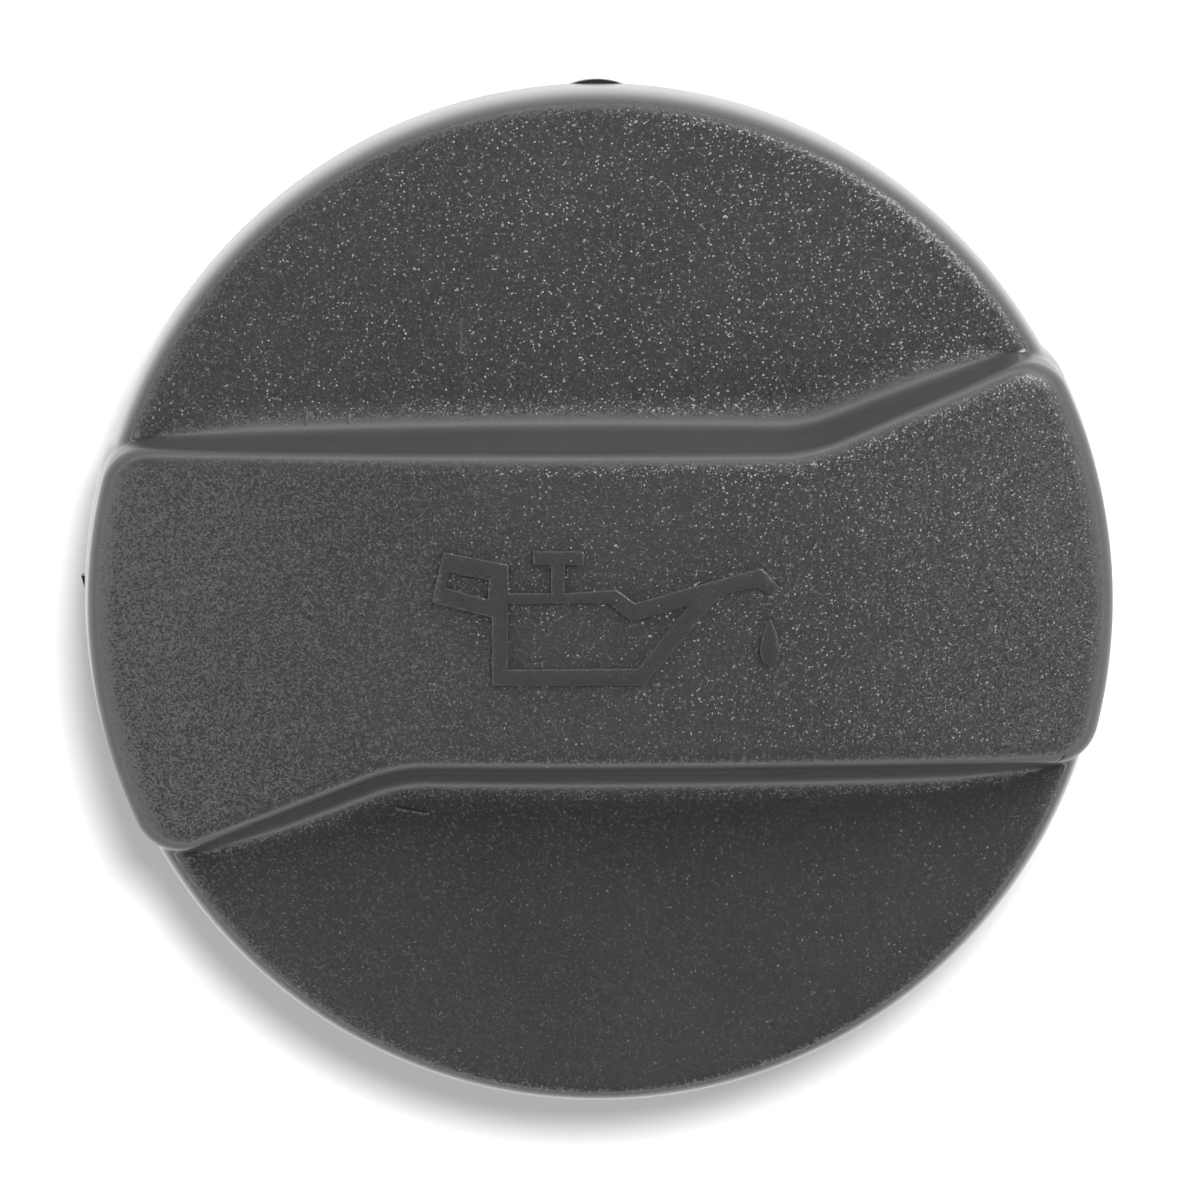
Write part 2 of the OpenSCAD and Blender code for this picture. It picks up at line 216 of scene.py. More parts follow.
def barOutline():
    # each point is x, y, direction of its outward normal, lean of its wall
    flare = math.radians(head["flare"])
    bend, halfWidth = head["bendRadius"], head["barHalfWidth"]
    corner, reach = head["cornerRadius"], head["endRadius"] - head["cornerRadius"]
    bendIn = head["bendX"] - bend * math.tan(flare / 2)
    bendOut = bendIn + bend * math.sin(flare)

    def edgePoint(x):
        if x < bendIn:
            rise, slope = 0, 0
        elif x < bendOut:
            rise, slope = bend - math.sqrt(bend ** 2 - (x - bendIn) ** 2), math.asin((x - bendIn) / bend)
        else:
            rise, slope = bend * (1 - math.cos(flare)) + (x - bendOut) * math.tan(flare), flare
        return (x, halfWidth + rise, math.pi / 2 + slope, wallLean)

    squareCorner = Vector((-math.sqrt(reach ** 2 - (halfWidth - corner) ** 2), halfWidth - corner))
    along, across = polar(1, flare), polar(1, flare + math.pi / 2)
    start = Vector(edgePoint(bendOut)[:2]) - corner * across
    run = -start.dot(along) + math.sqrt(start.dot(along) ** 2 - start.dot(start) + reach ** 2)
    flareCorner = start + run * along
    flareTurn = math.atan2(flareCorner.y, flareCorner.x)
    squareTurn = math.atan2(squareCorner.y, squareCorner.x)
    endMid = (flareTurn + squareTurn - math.pi) / 2
    edgeFrom, edgeTo = (flareCorner + corner * across).x, squareCorner.x

    half = []
    for t in spread(head["endSteps"]):
        a = mix(endMid, flareTurn, t)
        half.append((*polar(head["endRadius"], a), a, endLean))
    for t in spread(head["cornerSteps"]):
        a = mix(flareTurn, math.pi / 2 + flare, t)
        half.append((*(flareCorner + polar(corner, a)), a, mix(endLean, wallLean, t)))
    for t in spread(head["edgeSteps"]):
        half.append(edgePoint(mix(edgeFrom, edgeTo, t)))
    for t in spread(head["cornerSteps"]):
        a = mix(math.pi / 2, squareTurn, t)
        half.append((*(squareCorner + polar(corner, a)), a, mix(wallLean, endLean, t)))
    for t in spread(head["endSteps"]):
        a = mix(squareTurn, math.pi + endMid, t)
        half.append((*polar(head["endRadius"], a), a, endLean))
    return half + [(-x, -y, a + math.pi, lean) for x, y, a, lean in half]


outline = barOutline()
count = len(outline)


def topPoint(p, turn, inset=0):
    # turn 0 is where the wall ends, turn 1 is where the roof begins
    x, y, a, lean = p
    t = mix(lean, math.pi / 2, turn)
    q = Vector((x, y)) - polar(head["topRound"] * (math.cos(lean) - math.cos(t)) + inset, a)
    return (q.x, q.y, archZ(q.x) - head["topRound"] * (1 - math.sin(t)))


def wallPoint(p, z):
    x, y, topEdge = topPoint(p, 0)
    out = (topEdge - max(z, roundZ)) * math.tan(p[3]) + bodyRadius(min(z, roundZ)) - bodyRadius(roundZ)
    return Vector((x, y)) + polar(out, p[2])


def bodyRadius(z):
    # one curve from the flat disc over its rounded edge to the bottom of the skirt
    drop = head["skirtHeight"] + head["rimRound"]
    reach = head["rimRound"] + head["skirtHeight"] * skirtSlope
    curve = head["rimCurve"]
    return flatRadius + reach * max(0, 1 - ((z - head["rimBottom"]) / drop) ** curve) ** (1 / curve)


def wallEnd(p):
    # height where a wall meets the flat disc, its rounded edge, or the bottom of the skirt
    if wallPoint(p, faceZ).length < flatRadius:
        return faceZ
    if wallPoint(p, roundZ).length > bodyRadius(roundZ):
        return head["rimBottom"]
    low, high = roundZ, faceZ
    for i in range(halvings):
        middle = (low + high) / 2
        if wallPoint(p, middle).length > bodyRadius(middle):
            high = middle
        else:
            low = middle
    return low


endZ = [wallEnd(p) for p in outline]
onDisc = [z == faceZ for z in endZ]


def rimAngles():
    # direction in which each column runs out to the rim
    half = count // 2
    flat = [i for i in range(half) if onDisc[i]]
    first, last = flat[0], flat[-1]

    def direction(i):
        q = wallPoint(outline[i], endZ[i])
        return math.atan2(q.y, q.x)

    angles = []
    for i in range(half):
        if first < i < last:
            angles.append(mix(direction(first), direction(last), (i - first) / (last - first)))
        else:
            a = direction(i)
            angles.append(a + 2 * math.pi if i > last and a < 0 else a)
    return angles + [a + math.pi for a in angles]


rimAngle = rimAngles()


def footPoint(i, turn):
    # hollow at the foot of the bar, which fades out towards the rim
    p = outline[i]
    share = fade(flatRadius - wallPoint(p, faceZ).length, 0, head["footFade"])
    a = turn * (math.pi / 2 - wallLean)
    push = math.cos(wallLean) - math.sin(a) + (math.sin(wallLean) - math.cos(a)) * math.tan(wallLean)
    push *= head["footRound"]
    z = faceZ + mix(mix(*head["footStep"], turn), head["footRound"] * (1 - math.cos(a)), share)
    q = wallPoint(p, z) + polar(share * push, p[2])
    return (q.x, q.y, z)


def sidePoint(i, z, out=0):
    # on the wall as far down as it reaches, then on the rounded edge or the skirt
    onWall = z > endZ[i] or endZ[i] == head["rimBottom"]
    q = wallPoint(outline[i], z) if onWall else polar(bodyRadius(z), rimAngle[i])
    return (*(q + polar(out, rimAngle[i])), z)


def discPoint(i, t, side=0):
    # on the flat disc between the foot of the bar and the rim, side steps a narrow band off its end
    inner = Vector(footPoint(i, 0)[:2])
    outer = Vector(sidePoint(i, faceZ)[:2])
    if not onDisc[i]:
        return (*outer, faceZ)
    gap = (outer - inner).length
    return (*inner.lerp(outer, t + side * min(head["edgeBand"] / gap, 0.25)), faceZ)


def innerPoint(i, z, inward=0):
    return (*polar(innerRadius - inward, rimAngle[i]), z)


def hollowPoint(i, z=None):
    x, y, a, lean = outline[i]
    q = Vector((x, y)) - polar(head["barWall"], a)
    if q.length > head["hollowRadius"]:
        q = q.normalized() * head["hollowRadius"]
    return (q.x, q.y, archZ(q.x) - head["barWall"] if z is None else z)


def buildHead():
    bm = bmesh.new()
    grain = bm.verts.layers.float.new("grain")
    ids = range(count)
    band = head["edgeBand"]
    lip, bottom = head["lipRound"], head["rimBottom"]

    ring = roofRing = startRing(bm, [topPoint(p, 1) for p in outline])
    for vert in ring:
        vert[grain] = 1
    for t in spread(head["topSteps"], True)[-2::-1]:
        ring = growRing(bm, ring, [topPoint(p, t) for p in outline])
        for vert in ring:
            vert[grain] = fade(t, *head["topGrain"])
    topEdge = [topPoint(p, 0)[2] for p in outline]
    for t in head["wallRings"]:
        places = [mix(topEdge[i], footPoint(i, 1)[2], t) for i in ids]
        ring = growRing(bm, ring, [(*wallPoint(outline[i], z), z) for i, z in zip(ids, places)])
    # the grain is fainter on the lower half of the disc
    full = [(1 if p[1] > 0 else head["lowerGrain"]) if flat else 0 for p, flat in zip(outline, onDisc)]
    for t in spread(head["footSteps"], True)[::-1]:
        ring = growRing(bm, ring, [footPoint(i, t) for i in ids])
        for vert, strength in zip(ring, full):
            vert[grain] = fade(1 - t, *head["footGrain"]) * strength
    for t, side in ((0, 1), (0.5, 0), (1, -1), (1, 0)):
        ring = growRing(bm, ring, [discPoint(i, t, side) for i in ids])
        for vert, strength in zip(ring, full):
            vert[grain] = strength
    for t in spread(head["rimSteps"], True)[-2::-1]:
        z = roundZ + head["rimRound"] * math.sin(t * math.pi / 2)
        ring = growRing(bm, ring, [sidePoint(i, z) for i in ids])
        for vert, strength in zip(ring, full):
            vert[grain] = fade(t, *head["rimGrain"]) * strength
    for t in spread(head["skirtSteps"], True)[1:]:
        z = mix(roundZ, bottom + lip + head["lipBand"], t)
        ring = growRing(bm, ring, [sidePoint(i, z) for i in ids])
    for t in spread(head["lipSteps"], True):
        a = t * math.pi / 2
        z = bottom + lip * (1 - math.sin(a))
        ring = growRing(bm, ring, [sidePoint(i, z, -lip * (1 - math.cos(a))) for i in ids])
    for t in spread(head["lipSteps"], True):
        a = t * math.pi / 2
        z = bottom + lip * (1 - math.cos(a))
        ring = growRing(bm, ring, [innerPoint(i, z, -lip * (1 - math.sin(a))) for i in ids])
    ring = growRing(bm, ring, [innerPoint(i, ceilingZ) for i in ids])
    ring = growRing(bm, ring, [hollowPoint(i, ceilingZ) for i in ids])
    ring = hollowRing = growRing(bm, ring, [hollowPoint(i) for i in ids])

    # roof outside, with a narrow band along its edge, and the roof of the hollow
    roofRing = growRing(bm, roofRing, [topPoint(p, 1, band) for p in outline])
    for vert in roofRing:
        vert[grain] = 1
    roof = bm.faces.new(roofRing)
    underside = bm.faces.new(hollowRing)
    sliceAlongX(bm, [roof], *head["roofStrips"])
    sliceAlongX(bm, [underside], *head["undersideStrips"])
    bmesh.ops.recalc_face_normals(bm, faces=bm.faces)
    return bm


def asShape(piece):
    # take a finished helper object back into a bmesh
    bm = bmesh.new()
    bm.from_mesh(piece.data)
    bpy.data.meshes.remove(piece.data)
    return bm


def buildRibs():
    # plates across the hollow bar, half sunk into its walls and roof
    sunk = head["barWall"] / 2
    plates = bmesh.new()
    for i in range(head["ribs"]):
        x = (i - (head["ribs"] - 1) / 2) * head["ribPitch"]
        block(plates, (x - head["ribWidth"] / 2, -head["endRadius"], ceilingZ + head["ribGap"]),
              (x + head["ribWidth"] / 2, head["endRadius"], archZ(abs(x) + head["ribWidth"] / 2) - sunk))
    ribs = looseObject("ribs", plates)
    inside = [tuple(Vector((x, y)) - polar(sunk, a)) for x, y, a, lean in outline]
    combine(ribs, extrudeUp(bmesh.new(), inside, ceilingZ, topZ + spare), "INTERSECT")
    return asShape(ribs)


def buildNibs():
    # four short steps inside the skirt that hold the flange up
    top, height, reach = head["nibTop"], head["nibHeight"], head["nibReach"]
    outer, low, tip = innerRadius + head["nibSink"], top - height, innerRadius - reach
    ring = bmesh.new()
    turned(ring, [(outer, low), (innerRadius, low), (tip, top - height / 3), (tip, top), (outer, top),
                  (outer, low)])
    nibs = looseObject("nibs", ring)
    wedges = bmesh.new()
    half = math.radians(head["nibAngle"] / 2)
    near, far = head["wedge"]
    for quarter in range(4):
        middle = math.radians(45 + 90 * quarter)
        corners = [tuple(polar(radius, middle + turn)) for radius, turn in
                   ((near, -half), (far, -half), (far, half), (near, half))]
        extrudeUp(wedges, corners, low - spare, top + spare)
    combine(nibs, wedges, "INTERSECT")
    return asShape(nibs)


# raised oil-can sign on the roof of the bar
sign = dict(
    height=0.2, bevel=0.12, bevelSteps=3, bevelFrom=1, sink=0.6, strips=(12, 0.8), grain=0.4,
    # outer line of the can, its hollow, and the hole in its handle
    can=[(-10.85, 4.2), (-6.4, 3.35), (-6.4, 1.42), (-3.56, 1.42), (-3.56, 3.32), (-4.78, 3.32),
         (-4.78, 4.27), (-1.32, 4.27), (-1.32, 3.32), (-2.61, 3.32), (-2.61, 1.42), (0.62, 1.62),
         (0.95, 1.62), (2.14, 0.72), (5.1, 1.55), (10.75, 3.05), (11.95, 1.7), (11.4, 1.22),
         (10.35, 1.76), (7.95, 1.22), (2.75, -4.88), (-7.56, -4.88), (-7.56, -0.24), (-11.63, 0.75)],
    hollow=[(-6.48, 0.68), (0.3, 0.75), (1.93, -0.51), (2.4, -0.4), (5.66, 0.47), (2.35, -3.73),
            (-6.48, -3.8)],
    handleHole=[(-10.4, 2.78), (-7.76, 2.3), (-7.85, 1.02), (-10.68, 1.76)],
    drop=[(11.3, -0.3), (11.75, -1.3), (12.0, -2.5), (11.9, -3.2), (11.3, -3.62), (10.75, -3.25),
          (10.6, -2.5), (10.85, -1.3)],
)


def addSign(bm):
    shape = bmesh.new()
    grain = shape.verts.layers.float.new("grain")
    for loops in ([sign["can"], sign["hollow"], sign["handleHole"]], [sign["drop"]]):
        edges = []
        for loop in loops:
            verts = [shape.verts.new((x * mm, y * mm, 0)) for x, y in loop]
            edges += [shape.edges.new((verts[i - 1], verts[i])) for i in range(len(verts))]
        bmesh.ops.triangle_fill(shape, edges=edges, use_beauty=True, use_dissolve=True, normal=(0, 0, 1))
    sliceAlongX(shape, list(shape.faces), *sign["strips"])
    raised = bmesh.ops.extrude_face_region(shape, geom=list(shape.faces), use_keep_orig=True)["geom"]
    for vert in shape.verts:
        vert.co.z = -sign["sink"] * mm
    for item in raised:
        if isinstance(item, bmesh.types.BMVert):
            item.co.z = sign["height"] * mm
    bmesh.ops.recalc_face_normals(shape, faces=shape.faces)
    # round the upper edge, where its faces meet at more than bevelFrom radians
    rim = [e for e in shape.edges
           if e.calc_face_angle(0) > sign["bevelFrom"] and all(v.co.z > 0 for v in e.verts)]
    bmesh.ops.bevel(shape, geom=rim, offset=sign["bevel"] * mm, offset_type="OFFSET", affect="EDGES",
                    segments=sign["bevelSteps"], profile=0.5, material=-1)
    for vert in shape.verts:
        vert.co.z += archZ(vert.co.x / mm) * mm
        vert[grain] = sign["grain"]
    mesh = bpy.data.meshes.new("signShape")
    shape.to_mesh(mesh)
    shape.free()
    bm.from_mesh(mesh)
    bpy.data.meshes.remove(mesh)


# plastic of the head, grained on its flat faces
headPlastic = dict(
    colour=(0.037, 0.037, 0.038), tint=0.08, patch=9, patchDetail=4,
    ior=1.5, roughness=0.3, smoothRoughness=0.19,  # on grained and on smooth faces
    # the bar's walls are duller than the skirt, from this height over the disc up
    barDull=0.1, barDullAbove=-0.05,
    grainSize=0.11, grainTilt=0.5, grainTail=0.6,  # facets: size, tilt, and how few of them tilt far
    fineSize=0.1, fineDetail=2, fineDepth=0.015, wallShare=0.12,
    # pale specks in the colour: partly dust, partly painted glints
    speckPitch=1.7, speckSize=0.05, speckColour=(0.3, 0.3, 0.3, 1),
    # scratches and nicks: from, to, half width, and depth, which is below 0 for a raised one
    marks=[((-9.5, 19.6, 27.7), (-9.6, 17.3, 27.7), 0.14, 0.16),
           ((-9.3, 18.9, 27.7), (-9.1, 14.8, 27.7), 0.16, 0.04),
           ((-13.9, -14.15, 27.7), (-12.0, -14.5, 27.7), 0.18, -0.09),
           ((-20.1, 13.1, 27.87), (-20.1, 12.35, 28.3), 0.15, -0.12),
           ((-17.2, 13.15, 27.87), (-17.2, 12.45, 28.27), 0.14, -0.1),
           ((-27.7, 13.9, 27.7), (-27.1, 13.2, 27.7), 0.1, 0.03),
           ((31.1, -10.75, 30.3), (31.6, -10.3, 30.75), 0.22, 0.14)],
)
toneRange = (0.3, 0.7)  # most of a noise lies in here


def newMaterial(name):
    material = bpy.data.materials.new(name)
    material.use_nodes = True
    return material, material.node_tree, material.node_tree.nodes["Principled BSDF"]


def addNode(tree, kind, label, inputs=None, **settings):
    # an input is a value or another node's output
    node = tree.nodes.new("ShaderNode" + kind)
    node.label = label
    for key, value in settings.items():
        setattr(node, key, value)
    for key, value in (inputs or {}).items():
        if isinstance(value, bpy.types.NodeSocket):
            tree.links.new(value, node.inputs[key])
        else:
            node.inputs[key].default_value = value
    return node


def addMath(tree, label, operation, a, b, clamp=False):
    return addNode(tree, "Math", label, {0: a, 1: b}, operation=operation, use_clamp=clamp).outputs["Value"]


def addVectorMath(tree, label, operation, a, b):
    node = addNode(tree, "VectorMath", label, {0: a, 1: b}, operation=operation)
    return node.outputs["Value" if operation in ("DOT_PRODUCT", "DISTANCE") else "Vector"]


def addNoise(tree, label, place, size, detail):
    values = {"Vector": place, "Scale": 1 / (size * mm), "Detail": detail}
    return addNode(tree, "TexNoise", label, values).outputs["Fac"]


def addCells(tree, label, place, size):
    return addNode(tree, "TexVoronoi", label, {"Vector": place, "Scale": 1 / (size * mm)})


def addTone(tree, patches, values):
    # slow change between a darker and a lighter tone of the colour
    tone = addNode(tree, "ValToRGB", "tone", {"Fac": patches})
    shares = (1 - values["tint"], 1 + values["tint"])
    for element, position, share in zip(tone.color_ramp.elements, toneRange, shares):
        element.position = position
        element.color = tuple(c * share for c in values["colour"]) + (1,)
    return tone.outputs["Color"]


def addGrain(tree, place, grained):
    # a field of tiny facets, each tilted its own way, which glint where they face a lamp
    cells = addCells(tree, "facets", place, headPlastic["grainSize"])
    offset = addVectorMath(tree, "from the facet's centre", "SUBTRACT", place, cells.outputs["Position"])
    tilt = addVectorMath(tree, "tilt of the facet", "SUBTRACT", cells.outputs["Color"], (0.5, 0.5, 0.5))
    lot = addNode(tree, "SeparateColor", "one draw a facet", {"Color": cells.outputs["Color"]})
    share = addMath(tree, "few facets tilt far", "POWER", lot.outputs["Blue"], headPlastic["grainTail"])
    rise = addVectorMath(tree, "full rise", "DOT_PRODUCT", offset, tilt)
    rise = addMath(tree, "rise", "MULTIPLY", rise, share)
    rise = addMath(tree, "only on the grained faces", "MULTIPLY", rise, grained)

    fine = addNoise(tree, "fine grain", place, headPlastic["fineSize"], headPlastic["fineDetail"])
    weaker = addNode(tree, "MapRange", "weaker on the walls",
                     {"Value": grained, "To Min": headPlastic["wallShare"]}).outputs["Result"]
    skin = addMath(tree, "skin", "MULTIPLY", fine, weaker)
    soft = addNode(tree, "Bump", "fine grain", {"Height": skin, "Distance": headPlastic["fineDepth"] * mm})
    return addNode(tree, "Bump", "facets", {"Height": rise, "Distance": 2 * headPlastic["grainTilt"],
                                            "Normal": soft.outputs["Normal"]}).outputs["Normal"]


def addMarks(tree, place, normal):
    grooves = 0.0
    for start, end, width, depth in headPlastic["marks"]:
        start, along = Vector(start) * mm, (Vector(end) - Vector(start)) * mm
        reach = addVectorMath(tree, "from the mark's start", "SUBTRACT", place, start)
        way = addVectorMath(tree, "way along it", "DOT_PRODUCT", reach, along)
        way = addMath(tree, "share of its length", "MULTIPLY", way, 1 / along.length_squared, clamp=True)
        nearest = addNode(tree, "VectorMath", "nearest place on it", {0: along, "Scale": way},
                          operation="SCALE")
        away = addVectorMath(tree, "distance from it", "DISTANCE", reach, nearest.outputs["Vector"])
        away = addMath(tree, "in widths", "DIVIDE", away, width * mm)
        groove = addMath(tree, "within it", "SUBTRACT", 1.0, away, clamp=True)
        deep = addMath(tree, "depth of it", "MULTIPLY", groove, -depth * mm)
        grooves = addMath(tree, "all marks", "ADD", grooves, deep)
    bump = addNode(tree, "Bump", "marks", {"Height": grooves, "Distance": 1.0, "Normal": normal})
    return bump.outputs["Normal"]


def addGloss(tree, place, grained):
    gloss = addNode(tree, "MapRange", "smooth and grained faces", {
        "Value": grained, "To Min": headPlastic["smoothRoughness"], "To Max": headPlastic["roughness"]})
    height = addNode(tree, "SeparateXYZ", "height", {"Vector": place}).outputs["Z"]
    lowest = (faceZ + headPlastic["barDullAbove"]) * mm
    onBar = addMath(tree, "above the disc", "GREATER_THAN", height, lowest)
    dull = addMath(tree, "duller walls", "MULTIPLY", onBar, headPlastic["barDull"])
    smooth = addMath(tree, "not on the grain", "SUBTRACT", 1.0, grained)
    dull = addMath(tree, "duller smooth walls", "MULTIPLY", dull, smooth)
    return addMath(tree, "roughness", "ADD", gloss.outputs["Result"], dull)


def headMaterial():
    material, tree, shader = newMaterial("sparkGrainedPlastic")
    shader.inputs["IOR"].default_value = headPlastic["ior"]
    place = addNode(tree, "TexCoord", "place").outputs["Object"]
    grained = addNode(tree, "Attribute", "grained faces", attribute_name="grain").outputs["Fac"]
    tree.links.new(addMarks(tree, place, addGrain(tree, place, grained)), shader.inputs["Normal"])
    tree.links.new(addGloss(tree, place, grained), shader.inputs["Roughness"])

    patches = addNoise(tree, "slow tone change", place, headPlastic["patch"], headPlastic["patchDetail"])
    tone = addTone(tree, patches, headPlastic)
    # sparse pale specks, partly dust and partly painted glints that stand in for light caught by the grain
    dustAndGlintSpecks = addCells(tree, "specks", place, headPlastic["speckPitch"])
    speck = addMath(tree, "a speck here", "LESS_THAN", dustAndGlintSpecks.outputs["Distance"],
                    headPlastic["speckSize"] / headPlastic["speckPitch"])
    dustAndGlintColour = addNode(tree, "Mix", "plastic or speck", {0: speck, 6: tone, 7: headPlastic["speckColour"]},
                    data_type="RGBA")
    tree.links.new(dustAndGlintColour.outputs[2], shader.inputs["Base Color"])
    return material


def mouldedMaterial(name, values):
    # plain moulded part: slow tone change, fine skin and uneven gloss
    material, tree, shader = newMaterial(name)
    place = addNode(tree, "TexCoord", "place").outputs["Object"]
    patches = addNoise(tree, "slow tone change", place, values["patch"], values["patchDetail"])
    skin = addNoise(tree, "fine skin", place, values["skinSize"], values["skinDetail"])
    bump = addNode(tree, "Bump", "fine skin", {"Height": skin, "Distance": values["skinDepth"] * mm})
    gloss = addNode(tree, "MapRange", "uneven gloss", {
        "Value": patches, "From Min": toneRange[0], "From Max": toneRange[1],
        "To Min": values["roughness"][0], "To Max": values["roughness"][1]})
    tree.links.new(addTone(tree, patches, values), shader.inputs["Base Color"])
    tree.links.new(bump.outputs["Normal"], shader.inputs["Normal"])
    tree.links.new(gloss.outputs["Result"], shader.inputs["Roughness"])
    return material


bm = buildHead()
bmesh.ops.remove_doubles(bm, verts=bm.verts, dist=mergeGap)
addSign(bm)
headPiece = looseObject("cap_head", bm)
for quarter in range(4):
    bm = bmesh.new()
    block(bm, (innerRadius - spare, -head["notchWidth"] / 2, head["rimBottom"] - spare),
          (head["endRadius"] + 5 * spare, head["notchWidth"] / 2, head["rimBottom"] + head["notchHeight"]))
    combine(headPiece, turnBy(bm, quarter), "DIFFERENCE")
combine(headPiece, buildRibs(), "UNION")
combine(headPiece, buildNibs(), "UNION")
finishPiece(headPiece, headMaterial(), head["sharpAngle"])
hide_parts("grip_head")
print("head built")


# insert: flange, spigot, bayonet lugs and the legs that reach down to the rim
insert = dict(
    boreRadius=17.3, spigotRadius=19.5, chamfer=1, flangeRadius=31.85, flangeZ=23.1,
    sealZ=20.5, bead=0.6, sealGap=0.1, boreRound=1.5, edgeRound=0.25,
    lugReach=3.2, lugRoot=1.1, lugHeight=4, lugAngle=56, lugZ=2.4,
    rampSlope=12, rampShare=0.45, stopWidth=2.4, stopHeight=2.6,
    legWidth=3.8, legThick=1.6, legRadius=32.05, legTopGap=0.3, toeZ=15.95, toeHeight=1.6,
    plainTip=35.375, tipFall=0.3, tipSteps=6,  # plain toes, which taper to both sides
    rampTip=35.89, rampSide=0.9, rampDrop=0.8,  # toes with a ramp
    softEdge=0.18, softEdgeSteps=2, softEdgeFrom=50, sharpAngle=35,
    colour=(0.02, 0.02, 0.021), tint=0.15, patch=5, patchDetail=5,
    skinSize=0.25, skinDetail=3, skinDepth=0.012, roughness=(0.3, 0.42),
)


def buildInsert():
    r, bore, flange = insert["spigotRadius"], insert["boreRadius"], insert["flangeRadius"]
    flangeZ, chamfer, bead, edge = (insert[k] for k in ("flangeZ", "chamfer", "bead", "edgeRound"))
    beadTop = insert["sealZ"] - insert["sealGap"]
    bm = bmesh.new()
    turned(bm, [(0, flangeZ), (bore, flangeZ), (bore, 0), (r - chamfer, 0), (r, chamfer),
                (r, beadTop - 2 * bead), (r + bead, beadTop - bead), (r, beadTop), (r, flangeZ),
                (flange, flangeZ), (flange, ceilingZ), (0, ceilingZ)])
    roundRings(bm, [(bore, flangeZ, insert["boreRound"]), (bore, 0, edge), (r - chamfer, 0, edge),
                    (r, chamfer, edge), (r + bead, beadTop - bead, edge), (flange, flangeZ, edge),
                    (flange, ceilingZ, edge)])
    piece = looseObject("bayonet_fitting", bm)
    bottom, outer, width = insert["toeZ"], insert["legRadius"], insert["legWidth"] / 2
    inner, side, steps = outer - insert["legThick"], insert["rampSide"], insert["tipSteps"]
    for quarter in range(4):
        bm = bmesh.new()
        block(bm, (inner, -width, bottom), (outer, width, ceilingZ - insert["legTopGap"]))
        combine(piece, turnBy(bm, quarter), "UNION")
        if quarter % 2:
            tip = insert["plainTip"]
            turns = [i / steps for i in range(-steps, steps + 1)]
            arc = [polar(tip - insert["tipFall"] * t * t, math.asin(width / tip) * t) for t in turns]
            toe = [(inner, -width)] + [tuple(q) for q in arc] + [(inner, width)]
        else:
            tip = insert["rampTip"]
            toe = [(inner, -side), (tip, -side), (tip - insert["rampDrop"], width), (inner, width)]
        bm = extrudeUp(bmesh.new(), toe, bottom, bottom + insert["toeHeight"])
        combine(piece, turnBy(bm, quarter), "UNION")
    for half in (0, 2):
        combine(piece, turnBy(buildLug(), half), "UNION")
    return piece


def buildLug():
    # side view of the lug pulled outwards and kept where it overlaps a ring round the spigot
    r, low, high = insert["spigotRadius"], insert["lugZ"], insert["lugZ"] + insert["lugHeight"]
    tip, root, chamfer = r + insert["lugReach"], r - insert["lugRoot"], insert["chamfer"]
    half = tip * math.sin(math.radians(insert["lugAngle"] / 2))
    rampEnd = half * (2 * insert["rampShare"] - 1)
    stop, rise = half - insert["stopWidth"], insert["stopHeight"]
    ramp = (rampEnd + half) * math.tan(math.radians(insert["rampSlope"]))
    bm = bmesh.new()
    side = [(-half, low), (half, low), (half, high + rise), (stop, high + rise), (stop, high),
            (rampEnd, high), (-half, high - ramp)]
    face = bm.faces.new([bm.verts.new((0, y * mm, z * mm)) for y, z in side])
    made = bmesh.ops.extrude_face_region(bm, geom=[face], use_keep_orig=True)["geom"]
    far = [item for item in made if isinstance(item, bmesh.types.BMVert)]
    bmesh.ops.translate(bm, verts=far, vec=(2 * r * mm, 0, 0))
    bmesh.ops.recalc_face_normals(bm, faces=bm.faces)
    lug = looseObject("lug", bm)
    below, above = low - spare, high + rise + spare
    ring = bmesh.new()
    turned(ring, [(root, below), (tip - chamfer, below), (tip - chamfer, low), (tip, low + chamfer),
                  (tip, above), (root, above), (root, below)])
    combine(lug, ring, "INTERSECT")
    return asShape(lug)


insertPiece = buildInsert()
edges = insertPiece.modifiers.new("soft edges", "BEVEL")
edges.width, edges.segments = insert["softEdge"] * mm, insert["softEdgeSteps"]
edges.limit_method, edges.angle_limit = "ANGLE", math.radians(insert["softEdgeFrom"])
finishPiece(insertPiece, mouldedMaterial("insertPlastic", insert), insert["sharpAngle"])
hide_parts("bayonet_insert")
print("insert built")


seal = dict(
    innerRadius=19.6, outerRadius=25.6, top=23.1, bottom=20.5, lipWidth=1.6, lipHeight=0.7, edgeRound=0.3,
    sharpAngle=40,
    colour=(0.014, 0.014, 0.014), tint=0.2, patch=3, patchDetail=5,
    skinSize=0.16, skinDetail=3, skinDepth=0.02, roughness=(0.5, 0.66),
)


def buildSeal():
    inner, outer, top, bottom = (seal[k] for k in ("innerRadius", "outerRadius", "top", "bottom"))
    lip, lipZ, size = outer - seal["lipWidth"] / 2, bottom - seal["lipHeight"], seal["edgeRound"]
    bm = bmesh.new()
    turned(bm, [(inner, bottom), (outer - seal["lipWidth"], bottom), (lip, lipZ), (outer, bottom),
                (outer, top), (inner, top), (inner, bottom)])
    roundRings(bm, [(lip, lipZ, size), (outer, top, size), (inner, bottom, size), (inner, top, size)])
    return looseObject("rubber_seal", bm)


sealPiece = buildSeal()
finishPiece(sealPiece, mouldedMaterial("sealRubber", seal), seal["sharpAngle"])
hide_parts("seal_ring")
print("seal built")


